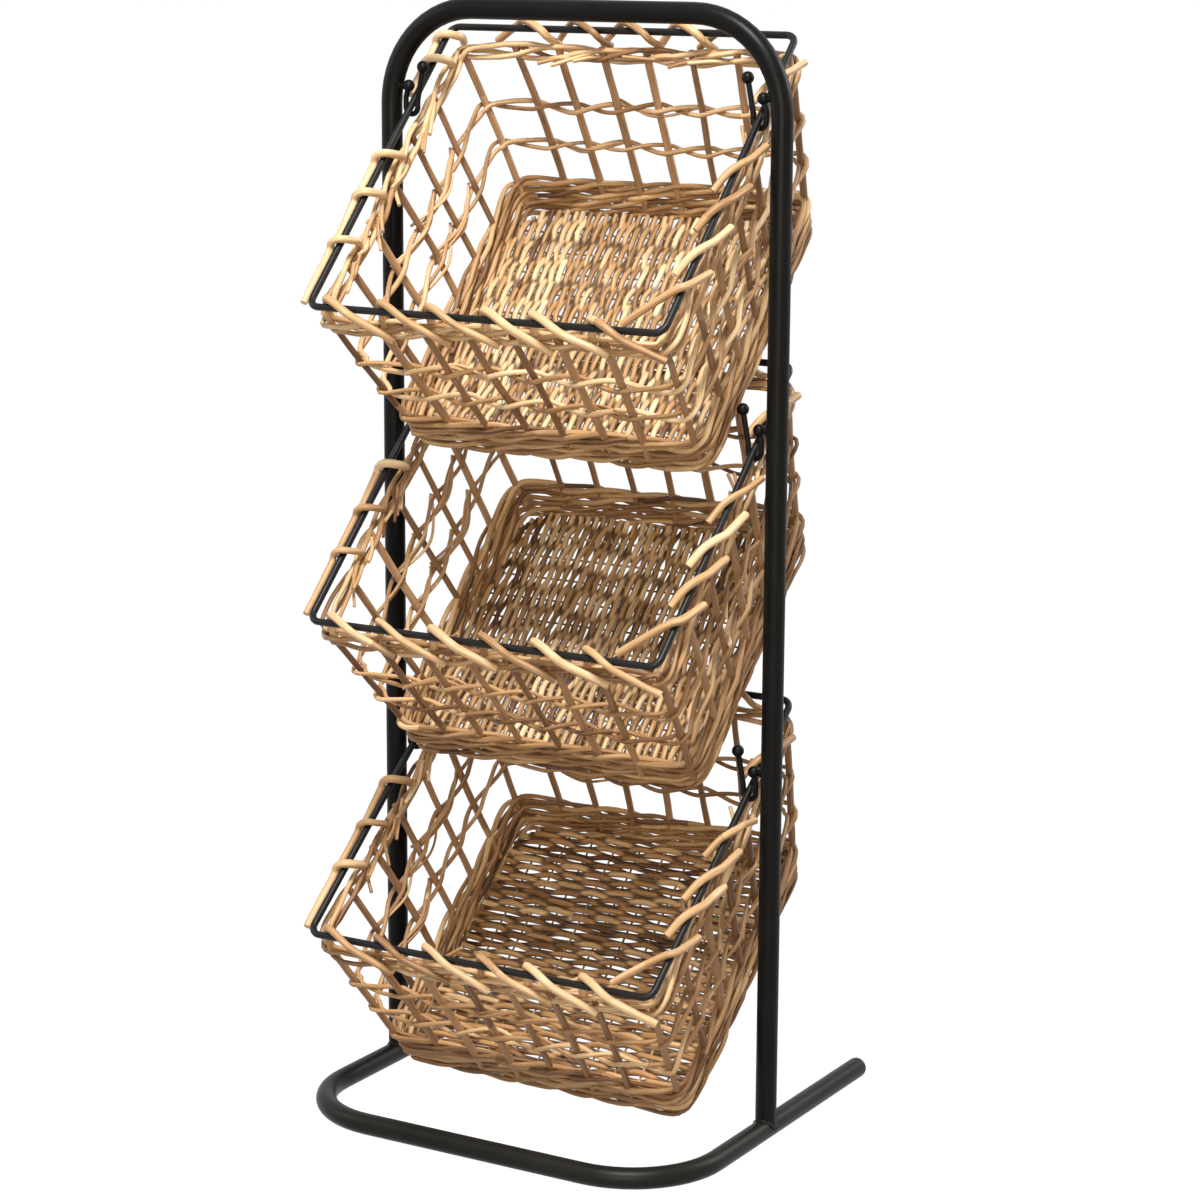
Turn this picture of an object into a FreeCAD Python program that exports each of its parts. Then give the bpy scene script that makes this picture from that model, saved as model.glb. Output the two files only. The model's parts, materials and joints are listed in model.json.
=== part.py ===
import FreeCAD, Part
import math
import os

# Basket display stand: a black tubular steel stand with three open-work willow baskets.
# Each basket hangs by the steel wire round its rim from a pair of hooks and tips forward.
# Millimetres, +Z up, front towards -Y. The origin is on the floor under the middle of the stand,
# and both uprights stand in the plane Y = 0.

# Steel stand
hoop_above_hooks = 104.0     # top of the hoop above the bars of the top hooks
base_depth = 375.0           # front of the base to the rear faces of its end plugs
tube_diameter = 19.0
tube_wall = 1.5
hoop_bend_radius = 85.0      # to the tube centreline
base_bend_radius = 85.0      # to the tube centreline
plug_cap = 4.0               # part of an end plug that shows
plug_edge = 2.0              # bevel of its rim
plug_spigot = 14.0           # part of an end plug inside the tube
plug_clearance = 0.15        # between the spigot and the tube bore

# Hooks, bent from round bar with a ball at each end
hook_bar = 5.0
hook_ball = 11.0
hook_peg = 6.0
hook_mouth = 7.5             # inner width of the U that holds the rim wire
hook_shoulder_height = 15.0  # top of the straight outer limb, above the bar at the bottom of the U
hook_ball_height = 25.0      # outer ball above the bar at the bottom of the U
hook_ball_lean = 1.75        # the outer ball stands this far inside the outer limb, on a straight tube
hook_flare_height = 12.0     # where the inner limb starts to lean inwards
hook_flare_angle = 11.0      # degrees
hook_tip_height = 42.0       # inner ball above the bar at the bottom of the U
hook_bend_radius = 6.0
hook_reach = 12.0            # wall of an upright to the centreline of the rim wire
top_tier_gap = 18.05         # plumb, between the top basket's underside and the rim plane below it
middle_tier_gap = 46.7       # the same under the middle basket
bottom_floor_gap = 168.25    # bars of the bottom hooks above the floor, beyond their basket's plumb depth

# Basket rims
rim_width = 352.0            # between the wire centrelines
rim_depth = 326.0
rim_wire = 6.0
rim_corner_radius = 10.0     # to the wire centreline
seat_clearance = 0.5         # between the rim wire and the bar it hangs on
top_seat = 226.0             # front wire to the hooks, along the side wire
middle_seat = 226.0
bottom_seat = 219.0
top_tilt = 45.5              # degrees, front edge down
middle_tilt = 43.8
bottom_tilt = 39.5

# Willow baskets, measured square to the plane of the rim
basket_depth = 185.0         # rim wire centreline to the underside of the basket
floor_narrower = 54.0        # than the rim, between the stake centrelines at the underside
floor_shorter = 56.0
floor_shift = -33.0          # the sagging floor lies this far in front of the middle of the rim
weave_corner_radius = 26.0   # to the stake centrelines
stake_diameter = 7.0
front_stake_pitch = 46.0     # at the rim
side_stake_pitch = 50.0      # at the rim
front_stake_count = 6        # in the front wall and in the back wall, between the corner stakes
side_stake_count = 5         # in each side wall, between the corner stakes
pairing_rod = 5.0
pairing_clearance = 0.35     # between a pairing rod and the stakes it binds
upper_pairing_depth = 75.0   # below the rim wire centreline
lower_pairing_depth = 113.0
wale_thickness = 10.0        # across a waling row
wale_edge = 1.6              # how far the edges of a row draw in from its belly
top_wale_depth = 14.0        # its upper face, below the rim wire centreline
top_wale_row = 7.0
top_wale_row_count = 2
bottom_wale_row = 12.0
bottom_wale_row_count = 3
wrap_rod = 5.0               # willow laid over the rim wire
wrap_slant = 40.0            # degrees from square across the rim wire
wrap_clearance = 0.2
wrap_pitch = 52.0
front_wrap_count = 6         # on the front wire and on the back wire
side_wrap_count = 3          # on a side wire, in front of its hook
bare_before_seat = 30.0      # rim wire left bare in front of a hook
bare_behind_seat = 48.0      # and behind it
mat_thickness = 6.0          # woven floor
mat_lift = 2.0               # underside of the woven floor above the underside of the basket
mat_clearance = 0.3
mat_rib = 20.0               # pitch of the woven ribs
mat_rib_rise = 0.9
floor_stick = 3.5
floor_stick_count = 5
floor_stick_clearance = 0.1

# Round sections and bends are drawn with flats
tube_sides = 16
rod_sides = 8
stake_sides = 6
tube_bend_flats = 5          # in a quarter turn of tube
rod_bend_flats = 3           # in a quarter turn of wire or bar
corner_flats = 2             # in a corner of the weave
ball_latitudes = (-65, -25, 25, 65)
same_place = 1e-6

# Places worked out from the sizes above
tube_radius = tube_diameter / 2
bottom_hook_height = basket_depth * math.cos(math.radians(bottom_tilt)) + bottom_floor_gap
middle_hook_height = bottom_hook_height + basket_depth / math.cos(math.radians(middle_tilt)) + middle_tier_gap
top_hook_height = middle_hook_height + basket_depth / math.cos(math.radians(top_tilt)) + top_tier_gap
stand_height = top_hook_height + hoop_above_hooks
upright_x = rim_width / 2 + hook_reach + tube_radius
upright_face = upright_x - tube_radius
rail_height = stand_height - tube_radius
base_front = -base_depth / 2 + tube_radius
leg_end = base_depth / 2 - plug_cap
rim_x = rim_width / 2
rim_y = rim_depth / 2
floor_x = rim_x - floor_narrower / 2
floor_y = rim_y - floor_shorter / 2
seat_drop = rim_wire / 2 + hook_bar / 2 + seat_clearance
top_wale_under = -top_wale_depth - top_wale_row * top_wale_row_count
bottom_wale_top = -basket_depth + bottom_wale_row * bottom_wale_row_count

X_AXIS = FreeCAD.Vector(1, 0, 0)
Y_AXIS = FreeCAD.Vector(0, 1, 0)
Z_AXIS = FreeCAD.Vector(0, 0, 1)


def point(x, y, z):
    return FreeCAD.Vector(x, y, z)


def save(shape, name):
    shape.exportStep("parts/" + name + ".step")


def flat_sided(centre, normal, across, diameter, sides, stretch=1.0):
    """The corners of a regular polygon whose flats lie on a circle, stretched where a bar is mitred."""
    reach = diameter / 2 / math.cos(math.pi / sides)
    corners = []
    for number in range(sides + 1):
        angle = 2 * math.pi * (number + 0.5) / sides
        corner = normal * (reach * math.cos(angle)) + across * (reach * math.sin(angle) * stretch)
        corners.append(centre + corner)
    return corners


def flat_face(corners):
    return Part.Face(Part.makePolygon(corners))


def flat_faced(outlines, closed=False):
    """A solid with flat faces through a row of closed outlines, which may join up into a ring."""
    faces = []
    for here, there in zip(outlines, outlines[1:] + outlines[:1] if closed else outlines[1:]):
        for number in range(len(here) - 1):
            start, end = here[number], here[number + 1]
            faces.append(flat_face([start, end, there[number + 1], there[number], start]))
    if not closed:
        faces += [flat_face(outlines[0]), flat_face(outlines[-1])]
    return Part.makeSolid(Part.makeShell(faces))


def bent_line(points, radii, quarter_flats):
    """The points of a path with each inner corner bent to its own radius, drawn as short flats."""
    line = [points[0]]
    for before, corner, after, radius in zip(points, points[1:], points[2:], radii):
        along = (corner - before).normalize()
        onward = (after - corner).normalize()
        turn = along.getAngle(onward)
        bend_start = corner - along * (radius * math.tan(turn / 2))
        to_centre = along.cross(onward).normalize().cross(along)
        flats = max(1, round(quarter_flats * turn / (math.pi / 2)))
        for step in range(flats + 1):
            angle = turn * step / flats
            swing = along * math.sin(angle) + to_centre * (1 - math.cos(angle))
            place = bend_start + swing * radius
            if (place - line[-1]).Length > same_place:
                line.append(place)
    line.append(points[-1])
    return line


def bent_bar(points, radii, normal, diameter, sides, closed=False):
    """A bar along a bent path. Normal is square to the plane of the path, and radii are to its middle."""
    line = bent_line(points, radii, tube_bend_flats if sides == tube_sides else rod_bend_flats)
    if closed:
        line = line[:-1]
    sections = []
    for number, place in enumerate(line):
        before = line[number - 1] if closed or number > 0 else None
        after = line[(number + 1) % len(line)] if closed or number + 1 < len(line) else None
        onward = (after - place).normalize() if after else (place - before).normalize()
        along = (place - before).normalize() if before else onward
        across = (along + onward).normalize().cross(normal)
        stretch = 1 / math.cos(along.getAngle(onward) / 2)
        sections.append(flat_sided(place, normal, across, diameter, sides, stretch))
    return flat_faced(sections, closed)


def straight_bar(start, end, normal, diameter, sides):
    """A straight bar with two of its flats square to normal."""
    across = (end - start).normalize().cross(normal)
    return flat_face(flat_sided(start, normal, across, diameter, sides)).extrude(end - start)


# Steel stand
base_corners = [
    point(-upright_x, leg_end, tube_radius),
    point(-upright_x, base_front, tube_radius),
    point(upright_x, base_front, tube_radius),
    point(upright_x, leg_end, tube_radius),
]
hoop_corners = [
    point(-upright_x, 0, tube_radius),
    point(-upright_x, 0, rail_height),
    point(upright_x, 0, rail_height),
    point(upright_x, 0, tube_radius),
]


def build_base(diameter):
    """The floor tube, a front bar and two legs open to the back, as a solid of one diameter."""
    return bent_bar(base_corners, [base_bend_radius] * 2, Z_AXIS, diameter, tube_sides)


def build_hoop(diameter):
    """The inverted U of two uprights and the top rail, as a solid of one diameter."""
    return bent_bar(hoop_corners, [hoop_bend_radius] * 2, Y_AXIS, diameter, tube_sides)


def build_end_plug(side):
    """A push-in plug with a flat, bevelled cap that closes the rear end of a leg."""
    bore = tube_diameter - 2 * tube_wall
    steps = [
        (leg_end, tube_diameter),
        (leg_end + plug_cap - plug_edge, tube_diameter),
        (leg_end + plug_cap, tube_diameter - 2 * plug_edge),
    ]
    rings = []
    for y, diameter in steps:
        middle = point(side * upright_x, y, tube_radius)
        rings.append(flat_sided(middle, Z_AXIS, X_AXIS, diameter, tube_sides))
    cap = flat_faced(rings)
    inside = point(side * upright_x, leg_end - plug_spigot, tube_radius)
    seat = point(side * upright_x, leg_end, tube_radius)
    spigot = straight_bar(inside, seat, Z_AXIS, bore - 2 * plug_clearance, tube_sides)
    return cap.fuse(spigot).removeSplitter()


# Hooks
hook_half_gap = (hook_mouth + hook_bar) / 2
outer_limb = hook_reach - hook_half_gap
inner_limb = hook_reach + hook_half_gap
hook_tip_lean = (hook_tip_height - hook_flare_height) * math.tan(math.radians(hook_flare_angle))


def hook_place(side, inward, height):
    """A point in the plane of the uprights, measured inwards from the wall of one of them."""
    return point(side * (upright_face - inward), 0, height)


def ball_place(side, hook_height):
    """The middle of a hook's outer ball, as far from the hoop in its bend as on its straight tube."""
    height = hook_height + hook_ball_height
    inner_bend = hoop_bend_radius - tube_radius
    into_bend = max(0, height - rail_height + hoop_bend_radius)
    bend_inward = inner_bend - math.sqrt(inner_bend ** 2 - into_bend ** 2)
    return hook_place(side, outer_limb + hook_ball_lean + bend_inward, height)


def build_ball(centre):
    """A ball drawn as a stack of flat-sided rings."""
    rings = []
    for latitude in ball_latitudes:
        angle = math.radians(latitude)
        level = centre + Z_AXIS * (math.sin(angle) * hook_ball / 2)
        rings.append(flat_sided(level, X_AXIS, Y_AXIS, hook_ball * math.cos(angle), rod_sides))
    return flat_faced(rings)


def build_hook(side, height):
    """One bent bar: from the outer ball down, round the U under the rim wire, up and in to the tip."""
    outline = [
        ball_place(side, height),
        hook_place(side, outer_limb, height + hook_shoulder_height),
        hook_place(side, outer_limb, height),
        hook_place(side, inner_limb, height),
        hook_place(side, inner_limb, height + hook_flare_height),
        hook_place(side, inner_limb + hook_tip_lean, height + hook_tip_height),
    ]
    radii = [hook_bend_radius, hook_half_gap, hook_half_gap, hook_bend_radius]
    bar = bent_bar(outline, radii, Y_AXIS, hook_bar, rod_sides)
    return bar.fuse([build_ball(outline[0]), build_ball(outline[-1])]).removeSplitter()


def build_hook_peg(side, height, hook, hoop_bar):
    """The short bar that carries a hook's outer ball off the wall of the hoop."""
    ball = ball_place(side, height)
    axis = hook_place(side, -tube_radius, height + hook_ball_height)
    peg = straight_bar(axis, ball, Z_AXIS, hook_peg, rod_sides)
    return peg.cut(hoop_bar).cut(hook)


# Baskets, each built round the middle of its rim and then hung from its hooks
def wall_at(z):
    """Half width, half length and middle of the ring of stakes at a height below the rim."""
    share = -z / basket_depth
    half_x = rim_x + (floor_x - rim_x) * share
    half_y = rim_y + (floor_y - rim_y) * share
    return half_x, half_y, floor_shift * share


def loop_at(z, outward):
    """The outline of the basket at a height, moved outwards from the ring of stakes."""
    half_x, half_y, middle_y = wall_at(z)
    corners = []
    for quarter, (way_x, way_y) in enumerate(((1, 1), (-1, 1), (-1, -1), (1, -1))):
        turn_x = way_x * (half_x - weave_corner_radius)
        turn_y = middle_y + way_y * (half_y - weave_corner_radius)
        for step in range(corner_flats + 1):
            angle = math.pi / 2 * (quarter + step / corner_flats)
            reach = weave_corner_radius + outward
            corners.append(point(turn_x + reach * math.cos(angle), turn_y + reach * math.sin(angle), z))
    return corners + corners[:1]


def build_ring(top_z, row_height, rows, offset, thickness, edge):
    """Woven rows as one ring, each fullest at half its height. Offset is from the stakes to its middle."""
    half = thickness / 2
    levels = [(top_z, half - edge)]
    for row in range(rows):
        row_top = top_z - row * row_height
        levels += [(row_top - row_height / 2, half), (row_top - row_height, half - edge)]
    outer = [loop_at(z, offset + reach) for z, reach in levels]
    inner = [loop_at(z, offset - reach) for z, reach in levels]
    return flat_faced(outer + inner[::-1], True)


def build_wale(top_z, row_height, rows):
    """Waling rows woven in and out of the stakes."""
    return build_ring(top_z, row_height, rows, 0, wale_thickness, wale_edge)


def build_pairing(depth):
    """The two rods of a pairing row, one inside the stakes and one outside them."""
    offset = (stake_diameter + pairing_rod) / 2 + pairing_clearance
    edge = pairing_rod / 2 * (1 - math.cos(math.pi / 4))
    top_z = pairing_rod / 2 - depth
    return Part.makeCompound([
        build_ring(top_z, pairing_rod, 1, way * offset, pairing_rod, edge) for way in (-1, 1)])


def build_stake(place_at):
    """A straight stake from the bottom wale to the top wale."""
    foot = place_at(bottom_wale_top)
    head = place_at(top_wale_under)
    foot_face = flat_face(flat_sided(foot, X_AXIS, Y_AXIS, stake_diameter, stake_sides))
    return foot_face.extrude(head - foot)


def build_stakes(count, pitch, wall_point):
    """Stakes spread evenly along one wall."""
    stakes = []
    for number in range(count):
        place = pitch * (number - (count - 1) / 2)
        stakes.append(build_stake(lambda z: wall_point(place, z)))
    return stakes


def corner_point(way_x, way_y):
    """Places in the middle of a rounded corner, right (1) or left (-1) and back (1) or front (-1)."""
    def in_corner(z):
        half_x, half_y, middle_y = wall_at(z)
        inset = weave_corner_radius * (1 - math.cos(math.pi / 4))
        return point(way_x * (half_x - inset), middle_y + way_y * (half_y - inset), z)
    return in_corner


def build_end_stakes(way):
    """The stakes of the front wall (-1) or the back wall (1), with those in its two corners."""
    corner_stakes = [build_stake(corner_point(side, way)) for side in (-1, 1)]
    wall_stakes = build_stakes(front_stake_count, front_stake_pitch, end_wall_point(way))
    return Part.makeCompound(wall_stakes + corner_stakes)


def build_side_stakes(way):
    """The stakes of the left wall (-1) or the right wall (1)."""
    return Part.makeCompound(build_stakes(side_stake_count, side_stake_pitch, side_wall_point(way)))


def end_wall_point(way):
    """Places in the front wall (-1) or the back wall (1)."""
    def on_wall(place, z):
        half_x, half_y, middle_y = wall_at(z)
        return point(place * half_x / rim_x, middle_y + way * half_y, z)
    return on_wall


def side_wall_point(way):
    """Places in the left wall (-1) or the right wall (1)."""
    def on_wall(place, z):
        half_x, half_y, middle_y = wall_at(z)
        return point(way * half_x, middle_y + place * half_y / rim_y, z)
    return on_wall


def build_rim_wire():
    """The steel wire round the rim, bent to a rectangle and closed in the middle of its front side."""
    corners = [
        point(0, -rim_y, 0),
        point(rim_x, -rim_y, 0),
        point(rim_x, rim_y, 0),
        point(-rim_x, rim_y, 0),
        point(-rim_x, -rim_y, 0),
        point(0, -rim_y, 0),
    ]
    return bent_bar(corners, [rim_corner_radius] * 4, Z_AXIS, rim_wire, rod_sides, True)


def build_wrap(place, heading):
    """A rod that rises from the top wale, crosses over the rim wire aslant and goes down again."""
    slant = math.radians(wrap_slant)
    crown = rim_wire / 2 + wrap_clearance
    inner = (crown + wrap_rod / 2 * math.sin(slant)) / math.cos(slant)
    outer = inner + wrap_rod
    foot = -top_wale_depth
    right = [(inner, crown + wrap_rod), (outer, crown), (outer, foot), (inner, foot), (inner, crown)]
    outline = right + [(-x, z) for x, z in reversed(right)]
    outline.append(outline[0])
    rod = flat_face([point(x, 0, z) for x, z in outline]).extrude(Y_AXIS * wrap_rod)
    rod.translate(Y_AXIS * (-wrap_rod / 2))
    rod.rotate(point(0, 0, 0), Z_AXIS, heading + wrap_slant)
    rod.translate(place)
    return rod


def build_border(seat_y):
    """All the wraps of one rim, with the wire left bare where the hooks hold it."""
    wraps = []
    for number in range(front_wrap_count):
        place = wrap_pitch * (number - (front_wrap_count - 1) / 2)
        wraps.append(build_wrap(point(place, -rim_y, 0), 90))
        wraps.append(build_wrap(point(place, rim_y, 0), 90))
    places = [seat_y - bare_before_seat - wrap_pitch * number for number in range(side_wrap_count)]
    places.append(seat_y + bare_behind_seat)
    for place in places:
        wraps.append(build_wrap(point(-rim_x, place, 0), 0))
        wraps.append(build_wrap(point(rim_x, place, 0), 0))
    return Part.makeCompound(wraps)


mat_middle_z = -basket_depth + mat_lift + mat_thickness / 2
mat_inset = wale_thickness / 2 + mat_clearance


def floor_rods(weavers_along_y, diameter, end_gap):
    """Rods through the floor, square to its weavers and evenly spread."""
    half_x, half_y, middle_y = wall_at(mat_middle_z)
    if weavers_along_y:
        spread, reach, along = half_y - mat_inset, half_x - mat_inset - end_gap, X_AXIS
    else:
        spread, reach, along = half_x - mat_inset, half_y - mat_inset - end_gap, Y_AXIS
    across = Z_AXIS.cross(along)
    step = 2 * spread / (floor_stick_count + 1)
    middle = point(0, middle_y, mat_middle_z)
    rods = []
    for number in range(floor_stick_count):
        start = middle + across * (step * (number + 1) - spread) - along * reach
        rods.append(straight_bar(start, start + along * 2 * reach, Z_AXIS, diameter, rod_sides))
    return rods


def build_mat(weavers_along_y):
    """The woven floor: a mat with ridges along its weavers, pierced by the sticks it is woven on."""
    half_x, half_y, middle_y = wall_at(mat_middle_z)
    across, along = (half_x, half_y) if weavers_along_y else (half_y, half_x)
    ribs = max(2, round(2 * (across - mat_inset) / mat_rib))
    half_rib = (across - mat_inset) / ribs
    groove = mat_thickness / 2 - mat_rib_rise
    upper = []
    for number in range(2 * ribs + 1):
        height = mat_thickness / 2 if number % 2 else groove
        upper.append((number * half_rib - across + mat_inset, height))
    outline = upper + [(x, -z) for x, z in reversed(upper)]
    outline.append(outline[0])
    mat = flat_face([point(x, -along, z) for x, z in outline]).extrude(Y_AXIS * 2 * along)
    if not weavers_along_y:
        mat.rotate(point(0, 0, 0), Z_AXIS, 90)
    mat.translate(point(0, middle_y, mat_middle_z))
    edge = flat_face(loop_at(mat_middle_z, -mat_inset)).extrude(Z_AXIS * 2 * mat_thickness)
    edge.translate(Z_AXIS * -mat_thickness)
    return mat.common(edge).cut(floor_rods(weavers_along_y, floor_stick + 2 * floor_stick_clearance, 0))


def build_basket(seat_y, weavers_along_y):
    """Every piece of one basket by name, about the middle of its rim."""
    return {
        "rim_wire": build_rim_wire(),
        "border_wraps": build_border(seat_y),
        "top_wale": build_wale(-top_wale_depth, top_wale_row, top_wale_row_count),
        "upper_pairing": build_pairing(upper_pairing_depth),
        "lower_pairing": build_pairing(lower_pairing_depth),
        "bottom_wale": build_wale(bottom_wale_top, bottom_wale_row, bottom_wale_row_count),
        "front_stakes": build_end_stakes(-1),
        "back_stakes": build_end_stakes(1),
        "left_stakes": build_side_stakes(-1),
        "right_stakes": build_side_stakes(1),
        "woven_floor": build_mat(weavers_along_y),
        "floor_sticks": Part.makeCompound(floor_rods(weavers_along_y, floor_stick, mat_clearance)),
    }


def hang(shape, seat_y, hook_height, tilt):
    """Turns a basket to its tilt and sets its rim wire on the bars of its two hooks."""
    turn = FreeCAD.Rotation(X_AXIS, tilt)
    on_bar = turn.multVec(point(0, seat_y, -seat_drop))
    return shape.transformed(FreeCAD.Placement(point(0, 0, hook_height) - on_bar, turn).toMatrix())


os.makedirs("parts", exist_ok=True)
sides = (("left", -1), ("right", 1))

tube_bore = tube_diameter - 2 * tube_wall
base_bar = build_base(tube_diameter)
hoop_bar = build_hoop(tube_diameter)
save(base_bar.cut(build_base(tube_bore)), "floor_base")
save(hoop_bar.cut(build_hoop(tube_bore)).cut(base_bar), "upright_hoop")
for side_name, side in sides:
    save(build_end_plug(side), "end_plug_" + side_name)

tiers = (
    ("top", top_hook_height, top_seat, top_tilt, True),
    ("middle", middle_hook_height, middle_seat, middle_tilt, True),
    ("bottom", bottom_hook_height, bottom_seat, bottom_tilt, False),
)
for tier, hook_height, seat, tilt, weavers_along_y in tiers:
    for side_name, side in sides:
        hook = build_hook(side, hook_height)
        save(hook, tier + "_hook_" + side_name)
        save(build_hook_peg(side, hook_height, hook, hoop_bar), tier + "_hook_peg_" + side_name)
    seat_y = seat - rim_y
    for piece, shape in build_basket(seat_y, weavers_along_y).items():
        save(hang(shape, seat_y, hook_height, tilt), tier + "_" + piece)
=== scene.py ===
import json
import math
import random

import bmesh
import bpy
from mathutils import Matrix, Vector


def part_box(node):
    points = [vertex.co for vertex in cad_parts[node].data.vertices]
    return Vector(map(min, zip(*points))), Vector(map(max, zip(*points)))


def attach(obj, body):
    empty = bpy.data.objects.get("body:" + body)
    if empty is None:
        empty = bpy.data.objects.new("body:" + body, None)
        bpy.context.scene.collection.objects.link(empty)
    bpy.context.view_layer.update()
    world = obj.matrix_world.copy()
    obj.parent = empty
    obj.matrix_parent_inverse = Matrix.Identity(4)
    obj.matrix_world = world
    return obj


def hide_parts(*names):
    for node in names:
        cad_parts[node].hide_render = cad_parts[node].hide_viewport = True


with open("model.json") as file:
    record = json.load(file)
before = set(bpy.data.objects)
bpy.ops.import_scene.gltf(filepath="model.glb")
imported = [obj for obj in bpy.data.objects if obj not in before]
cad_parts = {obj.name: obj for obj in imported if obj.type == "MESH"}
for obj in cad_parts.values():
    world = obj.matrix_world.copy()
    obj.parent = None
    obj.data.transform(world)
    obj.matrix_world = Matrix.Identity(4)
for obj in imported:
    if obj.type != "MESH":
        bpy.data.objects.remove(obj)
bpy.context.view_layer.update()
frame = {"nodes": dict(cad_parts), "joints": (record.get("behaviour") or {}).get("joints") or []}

# Upright hoop
# One length of round steel tube bent twice into an inverted U, whose feet stand on the floor base.
# It is powder coated, a satin black with a fine pebbled skin.
hoop_low, hoop_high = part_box("upright_hoop")
tube_diameter = hoop_high.y - hoop_low.y
tube_radius = tube_diameter / 2
upright_x = hoop_high.x - tube_radius
rail_height = hoop_high.z - tube_radius
tube_bend = 0.085
tube_bends = [0, tube_bend, tube_bend, 0]
tube_sides = 32


def feed(tree, node, feeds):
    """Gives a node's inputs what they take. Feeds are pairs of an input and a socket or plain value."""
    for place, source in feeds:
        if isinstance(source, bpy.types.NodeSocket):
            tree.links.new(source, node.inputs[place])
        else:
            node.inputs[place].default_value = source


def add_node(tree, kind, feeds=(), **settings):
    """Adds one node with its settings and feeds."""
    node = tree.nodes.new(kind)
    for name, value in settings.items():
        setattr(node, name, value)
    feed(tree, node, feeds)
    return node


def worked_out(tree, operation, *values):
    """One step of arithmetic on sockets and plain numbers, as the socket of its result."""
    return add_node(tree, "ShaderNodeMath", enumerate(values), operation=operation).outputs[0]


def new_tree(name, inputs):
    """An empty Geometry Nodes tree with named inputs, and the node that hands them out."""
    tree = bpy.data.node_groups.new(name, "GeometryNodeTree")
    tree.interface.new_socket("Guide", in_out="INPUT", socket_type="NodeSocketGeometry")
    for label, kind in inputs.items():
        tree.interface.new_socket(label, in_out="INPUT", socket_type="NodeSocket" + kind)
    tree.interface.new_socket("Piece", in_out="OUTPUT", socket_type="NodeSocketGeometry")
    return tree, tree.nodes.new("NodeGroupInput")


def round_section(tree, diameter, sides):
    """The circle that is drawn along a path to make a bar or a rod."""
    radius = worked_out(tree, "MULTIPLY", diameter, 0.5)
    return add_node(tree, "GeometryNodeCurvePrimitiveCircle", [
        (0, sides), (4, radius)], mode="RADIUS").outputs[0]


def end_tree(tree, mesh, material, sharp_angle):
    """Smooths the sides, keeps the cut ends sharp, and gives the finish."""
    angle = add_node(tree, "GeometryNodeInputMeshEdgeAngle")
    sharp = add_node(tree, "FunctionNodeCompare", [(0, angle.outputs[0]), (1, sharp_angle)],
                     data_type="FLOAT", operation="GREATER_THAN")
    smooth = add_node(tree, "GeometryNodeSetShadeSmooth", [(0, mesh), (2, True)])
    edged = add_node(tree, "GeometryNodeSetShadeSmooth",
                     [(0, smooth.outputs[0]), (1, sharp.outputs[0]), (2, False)], domain="EDGE")
    real = add_node(tree, "GeometryNodeRealizeInstances", [(0, edged.outputs[0])])
    finished = add_node(tree, "GeometryNodeSetMaterial", [(0, real.outputs[0]), (2, material)])
    add_node(tree, "NodeGroupOutput", [(0, finished.outputs[0])])


def bent_bar_tree():
    """A round bar along a guide whose corners are bent to the radius written on them."""
    tree, given = new_tree("bent bar", {
        "Diameter": "Float", "Sides": "Int", "Bend steps": "Int", "Finish": "Material"})
    ask = given.outputs
    path = add_node(tree, "GeometryNodeMeshToCurve", [(0, ask["Guide"])])
    bend = add_node(tree, "GeometryNodeInputNamedAttribute", [(0, "bend")], data_type="FLOAT")
    bent = add_node(tree, "GeometryNodeFilletCurve", [
        (0, path.outputs[0]), (1, ask["Bend steps"]), (2, bend.outputs[0]), (3, True)], mode="POLY")
    section = round_section(tree, ask["Diameter"], ask["Sides"])
    bar = add_node(tree, "GeometryNodeCurveToMesh", [(0, bent.outputs[0]), (1, section), (2, 1.0), (3, True)])
    end_tree(tree, bar.outputs[0], ask["Finish"], sharp_angle=math.radians(50))
    return tree


def guide_mesh(name, lines, marks=None, closed=False):
    """Lines of points as loose edges. Marks names a number that each point carries."""
    points = [point for line in lines for point in line]
    edges = []
    start = 0
    for line in lines:
        edges += [(start + step, start + step + 1) for step in range(len(line) - 1)]
        if closed:
            edges.append((start + len(line) - 1, start))
        start += len(line)
    mesh = bpy.data.meshes.new(name)
    mesh.from_pydata(points, edges, [])
    for label, values in (marks or {}).items():
        mesh.attributes.new(label, "FLOAT", "POINT").data.foreach_set("value", values)
    return mesh


def grow_mesh(name, guide, tree, **values):
    """Runs a tree on a guide and returns the result as a plain mesh."""
    carrier = bpy.data.objects.new(name, guide)
    bpy.context.scene.collection.objects.link(carrier)
    modifier = carrier.modifiers.new(name, "NODES")
    modifier.node_group = tree
    for socket in tree.interface.items_tree:
        label = socket.name.replace(" ", "_").lower()
        if socket.in_out == "INPUT" and label in values:
            modifier[socket.identifier] = values[label]
    carrier.update_tag()
    bpy.context.view_layer.update()
    evaluated = carrier.evaluated_get(bpy.context.evaluated_depsgraph_get())
    mesh = bpy.data.meshes.new_from_object(evaluated)
    bpy.data.objects.remove(carrier)
    mesh.name = name
    return mesh


def bar_mesh(name, points, bends, diameter, sides, material, closed=False, steps=14):
    """A round bar through points, bent at each by its own radius in a number of steps."""
    guide = guide_mesh(name, [points], {"bend": bends}, closed)
    return grow_mesh(name, guide, bent_bar, diameter=diameter, sides=sides, bend_steps=steps, finish=material)


def joined(meshes):
    """Several meshes as one."""
    whole = bmesh.new()
    for mesh in meshes:
        whole.from_mesh(mesh)
    result = meshes[0]
    whole.to_mesh(result)
    whole.free()
    return result


def show_piece(name, mesh, body, slot, *nodes):
    """Puts a finished mesh in the scene on its body, in place of the solids it stands for."""
    piece = bpy.data.objects.new(name, mesh)
    bpy.context.scene.collection.objects.link(piece)
    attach(piece, body)
    if nodes:
        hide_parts(*nodes)


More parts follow.
